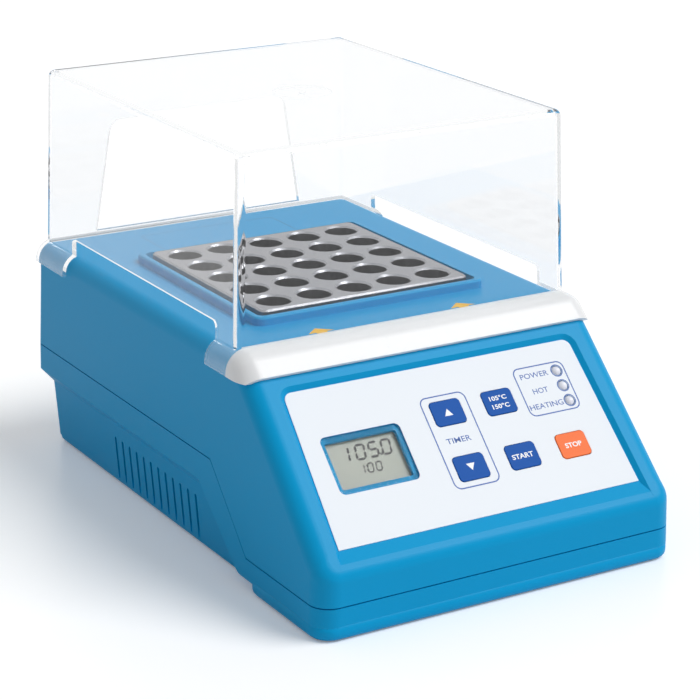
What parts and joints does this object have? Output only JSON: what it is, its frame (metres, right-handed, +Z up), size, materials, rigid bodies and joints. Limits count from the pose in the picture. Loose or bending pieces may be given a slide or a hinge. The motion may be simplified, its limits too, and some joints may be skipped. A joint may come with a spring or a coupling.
{
  "type": "test tube heater",
  "caption": "Dry block test tube heater with a grid of round wells, a sloped timer panel with display and keys, and a clear lift-off shield.",
  "frame": {"origin": "on the floor under the middle of the whole heater", "axes": "+Z up, -Y towards the sloped front panel, +X to the right of a person facing the panel"},
  "size_m": [0.1894, 0.3, 0.1966],
  "materials": {
    "base_tray": "satin moulded blue plastic",
    "top_cover": "satin moulded blue plastic",
    "panel_overlay": "smooth off-white printed film",
    "lcd_window": "clear pane with a blue printed border",
    "lcd_frame": "black moulded frame",
    "lcd_glass": "grey-green display glass",
    "control_board": "green board",
    "tactile_switches": "black",
    "control_screws": "zinc plated",
    "heating_block": "machined, lightly worn",
    "heater_cartridges": "steel sheath",
    "temperature_sensor": "steel sheath",
    "thermal_cutout": "plated",
    "insulation_jacket": "white fibre board",
    "insulation_base": "white fibre board",
    "block_spacers": "turned steel",
    "block_cradle": "zinc plated sheet",
    "block_screws": "zinc plated",
    "cradle_screws": "zinc plated",
    "case_screws": "dark plated",
    "rubber_feet": "black rubber",
    "power_board": "green board",
    "power_parts": "dark moulded parts",
    "heat_sink": "dark anodised",
    "triac": "black",
    "power_screws": "zinc plated",
    "transformer_core": "varnished laminations",
    "transformer_coil": "yellow tape wrap",
    "coil_screws": "zinc plated",
    "ribbon_cable": "grey ribbon",
    "inlet_leads": "insulated wire",
    "heater_leads": "braided sleeve",
    "mains_inlet": "black moulded",
    "inlet_pins": "plated brass",
    "inlet_screws": "zinc plated",
    "fuse_drawer": "black moulded",
    "fuse": "glass tube with metal ends",
    "rocker_housing": "black moulded",
    "rocker": "black moulded",
    "safety_shield": "clear moulded plastic",
    "led_power": "pale lens",
    "led_hot": "pale lens",
    "led_heating": "pale lens",
    "key_up": "blue",
    "key_down": "blue",
    "key_temp": "blue",
    "key_start": "blue",
    "key_stop": "orange"
  },
  "bodies": {
    "case": {"base_tray": "base_tray", "top_cover": "top_cover", "panel_overlay": "panel_overlay", "lcd_window": "lcd_window", "lcd_frame": "lcd_frame", "lcd_glass": "lcd_glass", "control_board": "control_board", "tactile_switches": "tactile_switches", "control_screws": "control_screws", "heating_block": "heating_block", "heater_cartridges": "heater_cartridges", "temperature_sensor": "temperature_sensor", "thermal_cutout": "thermal_cutout", "insulation_jacket": "insulation_jacket", "insulation_base": "insulation_base", "block_spacers": "block_spacers", "block_cradle": "block_cradle", "block_screws": "block_screws", "cradle_screws": "cradle_screws", "case_screws": "case_screws", "rubber_feet": "rubber_feet", "power_board": "power_board", "power_parts": "power_parts", "heat_sink": "heat_sink", "triac": "triac", "power_screws": "power_screws", "transformer_core": "transformer_core", "transformer_coil": "transformer_coil", "coil_screws": "coil_screws", "ribbon_cable": "ribbon_cable", "inlet_leads": "inlet_leads", "heater_leads": "heater_leads", "mains_inlet": "mains_inlet", "inlet_pins": "inlet_pins", "inlet_screws": "inlet_screws", "rocker_housing": "rocker_housing", "led_power": "led_power", "led_hot": "led_hot", "led_heating": "led_heating"},
    "shield": {"safety_shield": "safety_shield"},
    "fuse_carrier": {"fuse_drawer": "fuse_drawer", "fuse": "fuse"},
    "rocker_switch": {"rocker": "rocker"},
    "key_up_cap": {"key_up": "key_up"},
    "key_down_cap": {"key_down": "key_down"},
    "key_temp_cap": {"key_temp": "key_temp"},
    "key_start_cap": {"key_start": "key_start"},
    "key_stop_cap": {"key_stop": "key_stop"}
  },
  "joints": [
    {"name": "shield_lift", "type": "slide", "parent": "case", "child": "shield", "axis": [0, 0, 1], "range_m": [0, 0.12]},
    {"name": "key_up_press", "type": "slide", "parent": "case", "child": "key_up_cap", "axis": [0, 0.7009, -0.7133], "range_m": [0, 0.0004], "stiffness_N_per_m": 400, "springref_m": -0.001},
    {"name": "key_down_press", "type": "slide", "parent": "case", "child": "key_down_cap", "axis": [0, 0.7009, -0.7133], "range_m": [0, 0.0004], "stiffness_N_per_m": 400, "springref_m": -0.001},
    {"name": "key_temp_press", "type": "slide", "parent": "case", "child": "key_temp_cap", "axis": [0, 0.7009, -0.7133], "range_m": [0, 0.0004], "stiffness_N_per_m": 400, "springref_m": -0.001},
    {"name": "key_start_press", "type": "slide", "parent": "case", "child": "key_start_cap", "axis": [0, 0.7009, -0.7133], "range_m": [0, 0.0004], "stiffness_N_per_m": 400, "springref_m": -0.001},
    {"name": "key_stop_press", "type": "slide", "parent": "case", "child": "key_stop_cap", "axis": [0, 0.7009, -0.7133], "range_m": [0, 0.0004], "stiffness_N_per_m": 400, "springref_m": -0.001},
    {"name": "power_rocker", "type": "hinge", "parent": "case", "child": "rocker_switch", "pos_m": [-0.006, 0.138, 0.0195], "axis": [1, 0, 0], "range_deg": [-16, 0]},
    {"name": "fuse_drawer_pull", "type": "slide", "parent": "case", "child": "fuse_carrier", "axis": [0, 1, 0], "range_m": [0, 0.014]}
  ]
}
